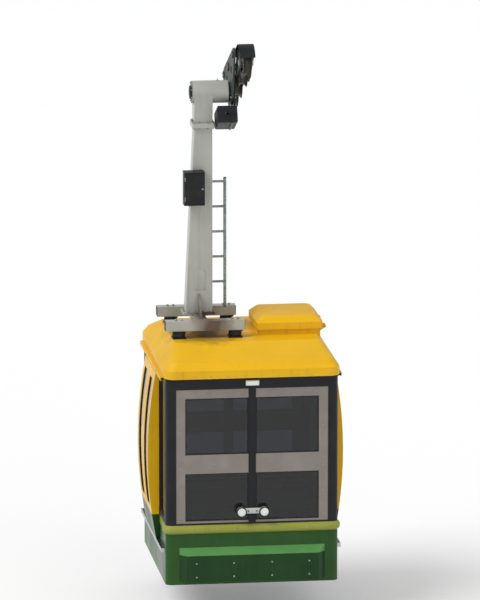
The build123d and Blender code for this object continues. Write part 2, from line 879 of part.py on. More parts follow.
# Doors: rails along the top of the walls and two bowed outside leaves on each side
with BuildPart() as door_rails:
    for side_name, side in SIDES:
        rail_middle = side * (half_width + rail_width / 2)
        with BuildSketch(Plane(origin=(0, -half_length + post, cabin_bottom), x_dir=(1, 0, 0), z_dir=(0, 1, 0))):
            with Locations((rail_middle, -(wall_top - rail_height / 2))):
                Rectangle(rail_width, rail_height)
                Rectangle(rail_width - 2 * rail_wall, rail_height - 2 * rail_wall, mode=Mode.SUBTRACT)
            with Locations((rail_middle, -(wall_top - rail_height))):
                Rectangle(rail_slot, 3 * rail_wall, mode=Mode.SUBTRACT)
        extrude(amount=cabin_length - 2 * post)
save(door_rails.part, "door_rails")


def bow_at(height):
    """How far the bowed skin of a leaf stands out at a height."""
    half_chord = (leaf_top - leaf_bottom) / 2
    radius = (half_chord**2 + leaf_bow**2) / (2 * leaf_bow)
    return (radius**2 - (height - leaf_bottom - half_chord) ** 2) ** 0.5 - radius + leaf_bow


def make_leaf(side, end, name):
    centre = end * (leaf_split / 2 + leaf_width / 2)
    middle = (leaf_bottom + leaf_top) / 2
    window_top = leaf_top - leaf_frame
    window_middle = (leaf_window_bottom + window_top) / 2
    window_height = window_top - leaf_window_bottom
    back = side * (half_width + leaf_gap)
    front = back + side * leaf_thick
    with BuildPart() as leaf:
        with BuildSketch(across_cabin(centre + leaf_width / 2)):
            with BuildLine():
                Polyline((front, leaf_top), (back, leaf_top), (back, leaf_bottom), (front, leaf_bottom))
                ThreePointArc((front, leaf_bottom), (front + side * leaf_bow, middle), (front, leaf_top))
            make_face()
        extrude(amount=leaf_width)
        with BuildSketch(across_cabin(centre + leaf_width / 2 - leaf_edge)):
            low = (back, leaf_bottom + leaf_edge)
            high = (back, leaf_top - leaf_edge)
            with BuildLine():
                ThreePointArc(low, (back + side * leaf_bow, middle), high)
                Line(high, low)
            make_face()
        extrude(amount=leaf_width - 2 * leaf_edge, mode=Mode.SUBTRACT)
        with BuildSketch(along_cabin(back)):
            with Locations((centre, window_middle)):
                RectangleRounded(leaf_width - 2 * leaf_frame, window_height, 50)
        extrude(amount=side * (leaf_thick + leaf_bow), mode=Mode.SUBTRACT)
        for place in trolley_places:
            with BuildSketch(at_height(leaf_top - 10)):
                with Locations((side * leaf_middle, centre + place)):
                    Rectangle(trolley_stem, trolley_length)
            extrude(amount=wall_top - rail_height + rail_wall + 10 - leaf_top + 10)
            with BuildSketch(at_height(wall_top - rail_height + rail_wall + slide_play)):
                with Locations((side * leaf_middle, centre + place)):
                    Rectangle(trolley_width, trolley_length)
            extrude(amount=trolley_height)
            with BuildSketch(at_height(leaf_bottom - guide_depth)):
                with Locations((side * leaf_middle, centre + place)):
                    Rectangle(guide_thick, trolley_length)
            extrude(amount=guide_depth)
    save(leaf.part, f"{name}")
    with BuildPart() as pane:
        with BuildSketch(across_cabin(centre + leaf_width / 2)):
            inner = back + side * (leaf_thick - pane_thick) / 2
            outer = inner + side * pane_thick
            rows = (leaf_window_bottom - leaf_frame / 2, window_middle, window_top + leaf_frame / 2)
            inner_low, inner_mid, inner_high = ((inner + side * bow_at(row), row) for row in rows)
            outer_low, outer_mid, outer_high = ((outer + side * bow_at(row), row) for row in rows)
            with BuildLine():
                ThreePointArc(inner_low, inner_mid, inner_high)
                Line(inner_high, outer_high)
                ThreePointArc(outer_high, outer_mid, outer_low)
                Line(outer_low, inner_low)
            make_face()
        extrude(amount=leaf_width)
        with BuildSketch(along_cabin(back)):
            with Locations((centre, window_middle)):
                RectangleRounded(leaf_width - 2 * leaf_frame, window_height, 50)
        extrude(amount=side * (leaf_thick + leaf_bow), mode=Mode.INTERSECT)
    save(pane.part, f"{name}_pane")


for side_name, side in SIDES:
    for end_name, end in ENDS:
        make_leaf(side, end, f"door_{side_name}_{end_name}")

# Inside: benches at both ends, handrails, and the lamps outside each end
bench_back = half_length - wall
slat_pitch = (bench_depth + bench_slat_gap) / bench_slats
slat_width = slat_pitch - bench_slat_gap
with BuildPart() as bench_tops:
    for end, sign in ENDS:
        with BuildSketch(at_height(bench_height)):
            for n in range(bench_slats):
                with Locations((0, sign * (bench_back - slat_width / 2 - n * slat_pitch))):
                    Rectangle(bench_length, slat_width)
        extrude(amount=bench_slat_thick)
save(bench_tops.part, "bench_slats")

with BuildPart() as bench_arms:
    for end, sign in ENDS:
        bracket_side = bench_length / 2 - bracket_inset
        for place in (-bracket_side, 0, bracket_side):
            with BuildSketch(along_cabin(place - bracket_thick / 2)):
                with BuildLine():
                    Polyline(
                        (sign * bench_back, bench_height),
                        (sign * (bench_back - bench_depth + 10), bench_height),
                        (sign * (bench_back - bench_depth + 10), bench_height - 30),
                        (sign * (bench_back - 50), bench_height - bracket_drop),
                        (sign * bench_back, bench_height - bracket_drop),
                        close=True,
                    )
                make_face()
            extrude(amount=bracket_thick)
save(bench_arms.part, "bench_brackets")

with BuildPart() as handrails:
    for sign in (-1, 1):
        with BuildSketch(Plane.YZ.offset(-grab_length / 2)):
            with Locations((sign * grab_place, cabin_bottom + grab_height)):
                Circle(grab_radius)
        extrude(amount=grab_length)
        post_side = grab_length / 2 - grab_post_inset
        for place in (-post_side, 0, post_side):
            with BuildSketch(at_height(grab_height)):
                with Locations((place, sign * grab_place)):
                    Circle(grab_radius - 3)
            extrude(amount=ceiling_low - grab_height)
    with BuildSketch(at_height(floor_top)):
        with GridLocations(2 * pole_side, 2 * pole_place, 2, 2):
            Circle(grab_radius)
    extrude(amount=ceiling_low - floor_top)
save(handrails.part, "handrails")

with BuildPart() as end_lamps:
    for end, sign in ENDS:
        face = sign * half_length
        with BuildSketch(across_cabin(face)):
            with Locations((0, lamp_height)):
                RectangleRounded(2 * lamp_side + 60, 60, 12)
        extrude(amount=-sign * lamp_bar_depth)
        with BuildSketch(across_cabin(face + sign * lamp_bar_depth)):
            with Locations((-lamp_side, lamp_height), (lamp_side, lamp_height)):
                Circle(lamp_radius)
        extrude(amount=-sign * lamp_depth)
        with BuildSketch(across_cabin(face)):
            with Locations((0, marker_middle)):
                RectangleRounded(marker_width, marker_height, 12)
        extrude(amount=-sign * marker_out)
save(end_lamps.part, "end_lamps")
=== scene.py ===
import bmesh
import bpy
from math import cos, pi, radians, sin, sqrt
from mathutils import Matrix, Vector


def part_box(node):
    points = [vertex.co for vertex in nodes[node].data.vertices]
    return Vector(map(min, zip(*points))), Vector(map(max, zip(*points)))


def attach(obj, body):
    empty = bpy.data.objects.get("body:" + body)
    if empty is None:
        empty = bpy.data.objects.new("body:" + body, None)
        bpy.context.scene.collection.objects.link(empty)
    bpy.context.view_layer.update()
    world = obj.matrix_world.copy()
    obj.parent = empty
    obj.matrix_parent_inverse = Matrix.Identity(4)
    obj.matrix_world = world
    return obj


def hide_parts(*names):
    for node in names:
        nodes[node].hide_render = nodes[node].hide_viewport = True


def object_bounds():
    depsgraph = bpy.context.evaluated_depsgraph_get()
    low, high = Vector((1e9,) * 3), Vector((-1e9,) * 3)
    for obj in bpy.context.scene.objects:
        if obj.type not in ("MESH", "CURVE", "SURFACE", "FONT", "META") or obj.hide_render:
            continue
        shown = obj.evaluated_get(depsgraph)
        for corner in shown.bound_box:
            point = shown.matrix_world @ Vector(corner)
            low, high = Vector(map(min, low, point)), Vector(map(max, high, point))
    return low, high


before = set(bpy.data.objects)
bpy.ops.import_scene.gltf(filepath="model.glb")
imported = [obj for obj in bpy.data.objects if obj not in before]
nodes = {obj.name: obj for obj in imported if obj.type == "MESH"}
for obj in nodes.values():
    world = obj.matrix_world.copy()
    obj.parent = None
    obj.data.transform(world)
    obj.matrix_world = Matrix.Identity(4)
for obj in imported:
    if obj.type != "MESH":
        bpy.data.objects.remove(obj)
cad_low, cad_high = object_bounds()

# The carriage's own directions, tilted by the slope it stands on, and the cabin's
SLOPE = radians(25)
DOWNHILL = Vector((0, cos(SLOPE), -sin(SLOPE)))
OFF_SLOPE = Vector((0, sin(SLOPE), cos(SLOPE)))
ACROSS = Vector((1, 0, 0))
UP = Vector((0, 0, 1))
ENDS = (("up", -1), ("down", 1))
SIDES = (("left", -1), ("right", 1))

# Places in metres: the cabin's own from the CAD nodes' boxes, and the middle of the hanger's column
CABIN_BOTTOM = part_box("end_aprons")[0].z
HALF_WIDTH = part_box("corner_posts")[1].x
HALF_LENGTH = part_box("corner_posts")[1].y
HANGER_X = -0.415

# Door leaves: the plane of their backs, the skin's thickness, its lowest and highest edge, and its bow
LEAF_BACK = HALF_WIDTH + 0.006
LEAF_SKIN = 0.036
LEAF_LOW, LEAF_HIGH = 0.400, 2.250
LEAF_BOW = 0.090


def at(x, y, height):
    """A point in the cabin, from its height above the cabin's lowest edge."""
    return Vector((x, y, CABIN_BOTTOM + height))


def on_slope(x, along, above):
    """A point on the carriage: across, downhill from its middle, and square above the origin's slope."""
    return ACROSS * x + DOWNHILL * along + OFF_SLOPE * above


def bow_at(height):
    """How far a door leaf's skin stands out at a height above the cabin's lowest edge."""
    half = (LEAF_HIGH - LEAF_LOW) / 2
    radius = (half**2 + LEAF_BOW**2) / (2 * LEAF_BOW)
    return sqrt(radius**2 - (height - LEAF_LOW - half) ** 2) - radius + LEAF_BOW


def linear(colour):
    """An sRGB hex colour as the linear RGBA that a shader socket takes."""
    channels = [int(colour[n:n + 2], 16) / 255 for n in (0, 2, 4)]
    return (*[c / 12.92 if c <= 0.04045 else ((c + 0.055) / 1.055) ** 2.4 for c in channels], 1.0)


def add_node(tree, kind, inputs=None, **settings):
    """Adds a node with its settings, and fills its inputs with values or with other nodes' outputs."""
    node = tree.nodes.new(kind)
    for name, value in settings.items():
        setattr(node, name, value)
    for socket, value in (inputs or {}).items():
        if isinstance(value, bpy.types.NodeSocket):
            tree.links.new(value, node.inputs[socket])
        else:
            node.inputs[socket].default_value = value
    return node


def start_finish(name, **shader_values):
    """A material with one shader, and the object's own coordinates to lay patterns on."""
    material = bpy.data.materials.new(name)
    material.use_nodes = True
    tree = material.node_tree
    tree.nodes.clear()
    shader = add_node(tree, "ShaderNodeBsdfPrincipled")
    for key, value in shader_values.items():
        shader.inputs[key.replace("_", " ").title().replace("Ior", "IOR")].default_value = value
    add_node(tree, "ShaderNodeOutputMaterial", {"Surface": shader.outputs[0]})
    place = add_node(tree, "ShaderNodeTexCoord").outputs["Object"]
    return material, tree, shader, place


def patches(tree, place, size, stretch=(1, 1, 1), low=0.4, high=0.6, detail=3.0, rough=0.55):
    """Cloudy patches of one size in metres, as a factor from 0 to 1 between two noise levels."""
    turned = add_node(tree, "ShaderNodeMapping", {"Vector": place, "Scale": stretch})
    noise = add_node(
        tree,
        "ShaderNodeTexNoise",
        {"Vector": turned.outputs[0], "Scale": 1 / size, "Detail": detail, "Roughness": rough},
    )
    return add_node(
        tree,
        "ShaderNodeMapRange",
        {0: noise.outputs[0], 1: low, 2: high, 3: 0.0, 4: 1.0},
    ).outputs[0]


def blend_colours(tree, factor, first, second, strength=1.0):
    """Mixes two colours, each a hex string or an output, by a factor scaled by a strength."""
    scaled = add_node(tree, "ShaderNodeMath", {0: factor, 1: strength}, operation="MULTIPLY").outputs[0]
    start, end = [linear(colour) if isinstance(colour, str) else colour for colour in (first, second)]
    return add_node(
        tree, "ShaderNodeMix", {0: scaled, 6: start, 7: end}, data_type="RGBA", clamp_factor=True
    ).outputs[2]


def ripple(tree, shader, height, depth, strength=0.4):
    """Bump from a height factor, with its depth in metres."""
    bump = add_node(tree, "ShaderNodeBump", {"Height": height, "Distance": depth, "Strength": strength})
    tree.links.new(bump.outputs[0], shader.inputs["Normal"])


def varied(tree, shader, factor, low, high):
    """Roughness that follows a factor from low to high."""
    spread = add_node(tree, "ShaderNodeMapRange", {0: factor, 1: 0.0, 2: 1.0, 3: low, 4: high})
    tree.links.new(spread.outputs[0], shader.inputs["Roughness"])


def rain_streaks(tree, place):
    """Streaks 20 to 60 mm wide that run down upright faces and fade out on level ones."""
    streaks = patches(tree, place, 0.06, stretch=(1, 1, 0.06), low=0.52, high=0.8, detail=4.0)
    normal = add_node(tree, "ShaderNodeNewGeometry").outputs["Normal"]
    rise = add_node(tree, "ShaderNodeSeparateXYZ", {0: normal}).outputs[2]
    level = add_node(tree, "ShaderNodeMath", {0: rise}, operation="ABSOLUTE").outputs[0]
    upright = add_node(tree, "ShaderNodeMapRange", {0: level, 1: 0.25, 2: 0.75, 3: 1.0, 4: 0.0}).outputs[0]
    return add_node(tree, "ShaderNodeMath", {0: streaks, 1: upright}, operation="MULTIPLY").outputs[0]


def away_from(tree, place, middle, scale):
    """The distance from a middle, with each direction scaled and 0 for one that doesn't count."""
    shifted = add_node(tree, "ShaderNodeVectorMath", {0: place, 1: middle}, operation="SUBTRACT")
    scaled = add_node(
        tree, "ShaderNodeVectorMath", {0: shifted.outputs[0], 1: scale}, operation="MULTIPLY"
    )
    length = add_node(tree, "ShaderNodeVectorMath", {0: scaled.outputs[0]}, operation="LENGTH")
    return length.outputs["Value"]


def grease_and_painted_shadow(tree, place, middle, reach):
    """Grease and rust water dripped round a middle, and painted shadow with them: dense there and ragged at
    its reach along X and Y, as a factor."""
    away = away_from(tree, place, middle, (1 / reach[0], 1 / reach[1], 0))
    ragged = patches(tree, place, 0.14, low=0.25, high=0.75, detail=6.0, rough=0.65)
    edge = add_node(tree, "ShaderNodeMath", {0: ragged, 1: 0.45, 2: away}, operation="MULTIPLY_ADD")
    fading = {0: edge.outputs[0], 1: 1.15, 2: 0.45, 3: 0.0, 4: 1.0}
    return add_node(tree, "ShaderNodeMapRange", fading).outputs[0]


def orange_peel(tree, shader, place):
    """The faint waviness of a sprayed coat, 4 mm from crest to crest."""
    ripple(tree, shader, patches(tree, place, 0.004, low=0.3, high=0.7, detail=1.0), 0.0004, 0.12)


# An enamel's roughness, from its fresh patches to its chalked ones
SATIN = (0.28, 0.42)


def sprayed_enamel(
    name, colour, faded, grime, rough=SATIN, streaks=0.35, coat=0.25, gloss=0.5, shadow_and_drips=None
):
    """Two-pack enamel sprayed on sheet metal: an even colour that the sun has chalked in patches, with
    rain streaks below each ledge and a faint orange peel that breaks up its reflections. A middle and a
    reach, if given, lay a dark brown patch there: old grease and rust water, and painted shadow with them."""
    material, tree, shader, place = start_finish(
        name, coat_weight=coat, coat_roughness=0.12, ior=1.5, specular_ior_level=gloss
    )
    chalk = patches(tree, place, 0.45, low=0.35, high=0.75)
    dust = patches(tree, place, 0.012, low=0.56, high=0.78, detail=2.0)
    base = blend_colours(tree, chalk, colour, faded, 0.8)
    base = blend_colours(tree, rain_streaks(tree, place), base, grime, streaks)
    base = blend_colours(tree, dust, base, grime, 0.1)
    if shadow_and_drips:
        # A dark brown patch: old grease and rust water, and painted shadow under and on the hanger's foot
        # frame
        base = blend_colours(tree, grease_and_painted_shadow(tree, place, *shadow_and_drips), base, "4C2B0A", 0.92)
    tree.links.new(base, shader.inputs["Base Color"])
    varied(tree, shader, chalk, *rough)
    orange_peel(tree, shader, place)
    return material


def split_enamel(name, upper, lower, height):
    """Enamel in two colours, each a fresh and a faded one, that meet in a clean edge at a height above the
    object's origin: a masked paint edge on the doors, and on the bumper a painted highlight above it and
    painted shade below."""
    material, tree, shader, place = start_finish(
        name, coat_weight=0.05, coat_roughness=0.12, ior=1.5, specular_ior_level=0.22
    )
    level = add_node(tree, "ShaderNodeSeparateXYZ", {0: place}).outputs[2]
    above = add_node(tree, "ShaderNodeMath", {0: level, 1: height}, operation="GREATER_THAN").outputs[0]
    chalk = patches(tree, place, 0.4, low=0.35, high=0.75)
    high_coat = blend_colours(tree, chalk, upper[0], upper[1], 0.8)
    low_coat = blend_colours(tree, chalk, lower[0], lower[1], 0.8)
    base = blend_colours(tree, above, low_coat, high_coat)
    base = blend_colours(tree, rain_streaks(tree, place), base, "4A4630", 0.16)
    tree.links.new(base, shader.inputs["Base Color"])
    varied(tree, shader, chalk, *SATIN)
    orange_peel(tree, shader, place)
    return material


def powder_coat(name, colour, worn, rough=(0.42, 0.58)):
    """Baked powder coat: a dull even skin with a fine pebble texture, greyer where hands and weather
    rub it."""
    material, tree, shader, place = start_finish(name, ior=1.5, specular_ior_level=0.25)
    rub = patches(tree, place, 0.2, low=0.45, high=0.8)
    specks = patches(tree, place, 0.006, low=0.62, high=0.8, detail=1.0)
    base = blend_colours(tree, rub, colour, worn, 0.6)
    base = blend_colours(tree, specks, base, worn, 0.25)
    tree.links.new(base, shader.inputs["Base Color"])
    varied(tree, shader, rub, *rough)
    pebble = patches(tree, place, 0.0035, low=0.3, high=0.7, detail=1.0)
    ripple(tree, shader, pebble, 0.0006, 0.25)
    return material


def zinc_dip(name, light, dark):
    """Zinc on steel: dull grey crystals 18 mm across, each of its own tone, with stains that run down."""
    material, tree, shader, place = start_finish(name, metallic=0.85)
    cells = add_node(tree, "ShaderNodeTexVoronoi", {"Vector": place, "Scale": 1 / 0.018})
    tone = add_node(tree, "ShaderNodeSeparateColor", {0: cells.outputs["Color"]}).outputs[0]
    base = blend_colours(tree, tone, light, dark)
    stain = patches(tree, place, 0.12, stretch=(1, 1, 0.3), low=0.5, high=0.8)
    base = blend_colours(tree, stain, base, "5A5C52", 0.4)
    tree.links.new(base, shader.inputs["Base Color"])
    varied(tree, shader, tone, 0.38, 0.55)
    return material


def brushed_metal(name, colour, dull, along, rough=(0.22, 0.38)):
    """Drawn or brushed metal: fine scratches that run along one axis and stretch its reflections. Real ones
    are finer, and these are as coarse as it takes to show."""
    material, tree, shader, place = start_finish(name, metallic=1.0)
    stretch = tuple(0.02 if n == along else 1.0 for n in range(3))
    lines = patches(tree, place, 0.0025, stretch=stretch, low=0.35, high=0.65, detail=2.0)
    cloud = patches(tree, place, 0.15, low=0.4, high=0.75)
    base = blend_colours(tree, cloud, colour, dull, 0.6)
    tree.links.new(base, shader.inputs["Base Color"])
    varied(tree, shader, lines, *rough)
    ripple(tree, shader, lines, 0.0002, 0.15)
    return material


def moulded_rubber(name, colour, bloom):
    """Black EPDM rubber: matt, slightly grey where it has bloomed in the sun."""
    material, tree, shader, place = start_finish(name, ior=1.45)
    chalk = patches(tree, place, 0.05, low=0.4, high=0.75)
    tree.links.new(blend_colours(tree, chalk, colour, bloom, 0.7), shader.inputs["Base Color"])
    varied(tree, shader, chalk, 0.6, 0.8)
    ripple(tree, shader, patches(tree, place, 0.003, detail=1.0), 0.0004, 0.2)
    return material


def studded_floor(name):
    """Rubber floor covering with round studs 30 mm apart, dusty between them."""
    material, tree, shader, place = start_finish(name, ior=1.45)
    studs = add_node(
        tree, "ShaderNodeTexVoronoi", {"Vector": place, "Scale": 1 / 0.03, "Randomness": 0.0}
    ).outputs["Distance"]
    rise = add_node(tree, "ShaderNodeMapRange", {0: studs, 1: 0.34, 2: 0.26, 3: 0.0, 4: 1.0}).outputs[0]
    base = blend_colours(tree, rise, "3A3A38", "242526")
    tree.links.new(base, shader.inputs["Base Color"])
    varied(tree, shader, rise, 0.75, 0.5)
    ripple(tree, shader, rise, 0.002, 0.6)
    return material


def tinted_glass(name, tint):
    """Grey-tinted acrylic glazing: clear enough to see the benches, with a film of dust that dulls it
    a little."""
    material, tree, shader, place = start_finish(
        name, transmission_weight=1.0, ior=1.49, base_color=linear(tint)
    )
    film = patches(tree, place, 0.18, low=0.4, high=0.8)
    varied(tree, shader, film, 0.01, 0.06)
    return material


def varnished_hardwood(name):
    """Varnished brown hardwood slats: grain lines 3 to 8 mm apart along X under a satin varnish."""
    material, tree, shader, place = start_finish(name, coat_weight=0.4, coat_roughness=0.2, ior=1.5)
    warp = patches(tree, place, 0.09, stretch=(0.08, 1, 1), low=0.2, high=0.8, detail=4.0)
    fibre = patches(tree, place, 0.006, stretch=(0.03, 1, 1), low=0.3, high=0.7, detail=5.0)
    base = blend_colours(tree, warp, "7A4B28", "5A3319")
    base = blend_colours(tree, fibre, base, "3A2010", 0.55)
    tree.links.new(base, shader.inputs["Base Color"])
    varied(tree, shader, fibre, 0.32, 0.5)
    ripple(tree, shader, fibre, 0.0004, 0.2)
    return material


# The wheels' liner begins at this radius, in metres
LINER_RADIUS = 0.1155


def grooved_wheel(name, centre):
    """Cast steel wheel with a polyurethane liner: the liner is dark and matt, and the web keeps its rough
    cast skin with old grease on it."""
    material, tree, shader, place = start_finish(name)
    radius = away_from(tree, place, tuple(centre), (0, 1, 1))
    liner = add_node(
        tree, "ShaderNodeMath", {0: radius, 1: LINER_RADIUS}, operation="GREATER_THAN"
    ).outputs[0]
    cast = patches(tree, place, 0.03, low=0.35, high=0.7)
    web = blend_colours(tree, cast, "55524B", "3B3833")
    tyre = blend_colours(tree, cast, "26231F", "3A352C")
    tree.links.new(blend_colours(tree, liner, web, tyre), shader.inputs["Base Color"])
    bare = add_node(tree, "ShaderNodeMapRange", {0: liner, 1: 0.0, 2: 1.0, 3: 0.7, 4: 0.0}).outputs[0]
    tree.links.new(bare, shader.inputs["Metallic"])
    varied(tree, shader, cast, 0.45, 0.7)
    ripple(tree, shader, patches(tree, place, 0.005, detail=2.0), 0.0006, 0.3)
    return material


def lamp_glass(name, tint):
    """Pressed lamp glass over a silvered bowl: pale and shiny with a faint fluting."""
    material, tree, shader, place = start_finish(name, ior=1.5, coat_weight=0.6, metallic=0.15)
    flutes = patches(tree, place, 0.004, stretch=(1, 1, 0.1), low=0.35, high=0.65, detail=1.0)
    base = blend_colours(tree, flutes, tint, "FFFFFF", 0.35)
    tree.links.new(base, shader.inputs["Base Color"])
    varied(tree, shader, flutes, 0.04, 0.16)
    ripple(tree, shader, flutes, 0.0005, 0.25)
    return material


# The finishes. An enamel's three colours are fresh paint, chalked paint and the dirt of its streaks
YELLOWS = ("E6B200", "DEAA0E", "82621A")
YELLOW_SHEEN = {"rough": (0.42, 0.56), "streaks": 0.3, "coat": 0.04, "gloss": 0.3}
YELLOW = sprayed_enamel("yellow_enamel", *YELLOWS, **YELLOW_SHEEN)
# The roof's dark brown patch round the hanger's foot is old grease and a painted shadow of the foot frame
ROOF_YELLOW = sprayed_enamel(
    "roof_enamel", *YELLOWS, **YELLOW_SHEEN, shadow_and_drips=((HANGER_X, -0.16, 0), (0.52, 0.66))
)
BELT = sprayed_enamel("belt_enamel", "8D9133", "999C45", "454722", streaks=0.3, coat=0.05, gloss=0.3)
GREEN = sprayed_enamel(
    "dark_green_enamel", "1A4610", "285418", "0A1E08", streaks=0.3, coat=0.05, gloss=0.25
)
BUMPER_LINE, DOOR_LINE = CABIN_BOTTOM + 0.338, CABIN_BOTTOM + 0.665
# The bumper's pale green above its line is a painted highlight on its bevel, and its near-black green below
# is painted shade on its upright face
BUMPER_GREEN = split_enamel("bumper_enamel", ("4C8444", "5B9251"), ("06340B", "0C4013"), BUMPER_LINE)
DOORS = split_enamel("door_enamel", YELLOWS[:2], ("0F3F14", "1B4C1E"), DOOR_LINE)
CARRIAGE_GREY = sprayed_enamel(
    "carriage_enamel", "414A44", "4E5751", "24261F", rough=(0.5, 0.65), streaks=0.25, coat=0.0, gloss=0.2
)
GREYS = ("A5A69D", "B6B7AF", "615F55")
HANGER_GREY = sprayed_enamel("stone_grey_enamel", *GREYS, streaks=0.28, coat=0.1)
# The foot frame's dark brown patch on its front beams is rust and painted shade at the column's foot
FOOT_GREY = sprayed_enamel(
    "foot_enamel", *GREYS, streaks=0.28, coat=0.1, shadow_and_drips=((HANGER_X + 0.06, -0.35, 0), (0.3, 1.1))
)
FRAME_GREY = powder_coat("grey_powder_coat", "857D76", "978F89")
ANTHRACITE = powder_coat("anthracite_powder_coat", "16171B", "26282D")
BLACK = powder_coat("black_powder_coat", "17181A", "2C2D2E")
CHASSIS = powder_coat("chassis_powder_coat", "2E3032", "484A4A", rough=(0.5, 0.7))
ZINC = zinc_dip("galvanised_steel", "9AA39C", "7C857F")
ALUMINIUM = brushed_metal("drawn_aluminium", "B9BBBC", "9A9C9C", 1)
STAINLESS = brushed_metal("brushed_stainless", "BDBEBC", "A2A3A1", 2, rough=(0.18, 0.3))
BOLT_ZINC = zinc_dip("zinc_plated_bolts", "A9ACAA", "8C8F8C")
RUBBER = moulded_rubber("epdm_rubber", "141414", "2A2A29")
FLOOR_RUBBER = studded_floor("studded_rubber_floor")
GLAZING = tinted_glass("grey_acrylic", "585B63")
HARDWOOD = varnished_hardwood("varnished_hardwood")
CEILING = powder_coat("white_laminate", "C9C9C2", "B9B8AE", rough=(0.3, 0.4))
LENS = lamp_glass("headlamp_glass", "D9DDD8")
LAMP_BODY = powder_coat("lamp_shell_paint", "C6C7C2", "AFAFA8", rough=(0.3, 0.45))

# Each node's finish; the wheels get one each, centred on their own axle
DOOR_LEAVES = tuple(f"door_{side}_{end}" for side, _ in SIDES for end, _ in ENDS)
FINISHES = {
    ROOF_YELLOW: ("roof_shell",),
    YELLOW: ("hatch_coaming", "hatch_lid", "door_rails"),
    BELT: ("end_belts", "side_belts"),
    GREEN: ("end_aprons", "side_aprons"),
    BUMPER_GREEN: ("bumpers",),
    CARRIAGE_GREY: ("beam_plate_left", "beam_plate_right", "rocker_up", "rocker_down"),
    HANGER_GREY: ("hanger_head", "hanger_column"),
    FOOT_GREY: ("hanger_foot",),
    FRAME_GREY: ("end_frames",),
    ANTHRACITE: ("corner_posts", "end_surrounds", "side_surrounds"),
    BLACK: ("wheel_cover_up", "wheel_cover_down", "haul_rope_arm", "haul_rope_clamp", "brake_box"),
    CHASSIS: ("underframe", "bench_brackets", "carriage_pins"),
    DOORS: DOOR_LEAVES,
    GLAZING: ("end_panes", "side_panes") + tuple(f"{leaf}_pane" for leaf in DOOR_LEAVES),
    ZINC: ("ladder",),
    ALUMINIUM: ("door_sills",),
    STAINLESS: ("handrails",),
    RUBBER: ("rubber_mounts",),
    FLOOR_RUBBER: ("floor_panel",),
    HARDWOOD: ("bench_slats",),
    CEILING: ("ceiling_panel",),
    LAMP_BODY: ("end_lamps",),
}
for end, _ in ENDS:
    for place in ("outer", "inner"):
        low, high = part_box(f"wheel_{end}_{place}")
        finish = grooved_wheel(f"cast_wheel_{end}_{place}", (low + high) / 2)
        FINISHES[finish] = (f"wheel_{end}_{place}", f"wheel_flanges_{end}_{place}")
for finish, names in FINISHES.items():
    for name in names:
        nodes[name].data.materials.clear()
        nodes[name].data.materials.append(finish)


# Edges sharper than this stay sharp
CREASE = radians(32)


def make_piece(bm, name, body, finish):
    """Closes a bmesh into a piece that rides on a body, smooth up to the crease angle."""
    bmesh.ops.remove_doubles(bm, verts=bm.verts, dist=1e-6)
    bmesh.ops.recalc_face_normals(bm, faces=bm.faces)
    mesh = bpy.data.meshes.new(name)
    bm.to_mesh(mesh)
    bm.free()
    mesh.shade_smooth()
    mesh.set_sharp_from_angle(angle=CREASE)
    mesh.materials.append(finish)
    piece = bpy.data.objects.new(name, mesh)
    bpy.context.scene.collection.objects.link(piece)
    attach(piece, body)


def facing(place, normal):
    """The transform that stands a shape's +Z along a normal at a place."""
    return Matrix.Translation(place) @ Vector(normal).to_track_quat("Z", "Y").to_matrix().to_4x4()


def add_disc(bm, place, normal, radius, thick, segments=24, top=None):
    """A round disc or stud that stands on a face, narrower at its top if a top radius is given."""
    bmesh.ops.create_cone(
        bm,
        cap_ends=True,
        segments=segments,
        radius1=radius,
        radius2=radius if top is None else top,
        depth=thick,
        matrix=facing(place, normal) @ Matrix.Translation((0, 0, thick / 2)),
    )


def add_bolt(bm, place, normal, across, head):
    """A hexagon head with a rounded-off top on its washer, from its width across flats and its height."""
    out = Vector(normal).normalized()
    washer, flats = 0.09 * across, 0.8 * head
    seat = Vector(place) + out * washer
    add_disc(bm, place, normal, 0.62 * across, washer, 20)
    add_disc(bm, seat, normal, across / 2 / cos(pi / 6), flats, 6)
    add_disc(bm, seat + out * flats, normal, across / 2, head - flats, 20, 0.42 * across)


def add_screw(bm, place, normal, radius=0.006, head=0.003):
    """A low round screw head, narrower at its top."""
    add_disc(bm, place, normal, radius, head, 16, 0.004)


def add_block(bm, centre, size, soft):
    """A block with softened edges, centred at a place."""
    corners = bmesh.ops.create_cube(bm, size=1.0)["verts"]
    bmesh.ops.scale(bm, vec=size, verts=corners)
    edges = list(dict.fromkeys(edge for corner in corners for edge in corner.link_edges))
    made = bmesh.ops.bevel(
        bm, geom=edges, offset=soft, segments=3, profile=0.5, affect="EDGES", material=-1
    )
    rounded = list(dict.fromkeys(corner for face in made["faces"] for corner in face.verts))
    bmesh.ops.translate(bm, vec=centre, verts=rounded)


def add_shape(bm, shape):
    """Adds a finished bmesh to another one."""
    carrier = bpy.data.meshes.new("carrier")
    shape.to_mesh(carrier)
    shape.free()
    bm.from_mesh(carrier)
    bpy.data.meshes.remove(carrier)


def add_strip(bm, seat, width, height, corner, rim, thick, rows=1):
    """A rubber strip with rounded corners: a sheet of one or more rows, inset to a ring and thickened."""
    strip = bmesh.new()
    bmesh.ops.create_grid(strip, x_segments=1, y_segments=rows, size=0.5)
    bmesh.ops.scale(strip, vec=(width, height, 1), verts=strip.verts)
    corners = [v for v in strip.verts if len(v.link_edges) == 2]
    bmesh.ops.bevel(
        strip, geom=corners, offset=corner, segments=6, profile=0.5, affect="VERTICES", material=-1
    )
    clear = strip.faces[:]
    bmesh.ops.inset_region(strip, faces=clear, thickness=rim, use_even_offset=True, use_boundary=True)
    bmesh.ops.delete(strip, geom=clear, context="FACES")
    raised = bmesh.ops.extrude_face_region(strip, geom=strip.faces[:])
    bmesh.ops.translate(
        strip, vec=(0, 0, thick), verts=[v for v in raised["geom"] if isinstance(v, bmesh.types.BMVert)]
    )
    bmesh.ops.recalc_face_normals(strip, faces=strip.faces)
    bmesh.ops.transform(strip, matrix=seat, verts=strip.verts)
    add_shape(bm, strip)


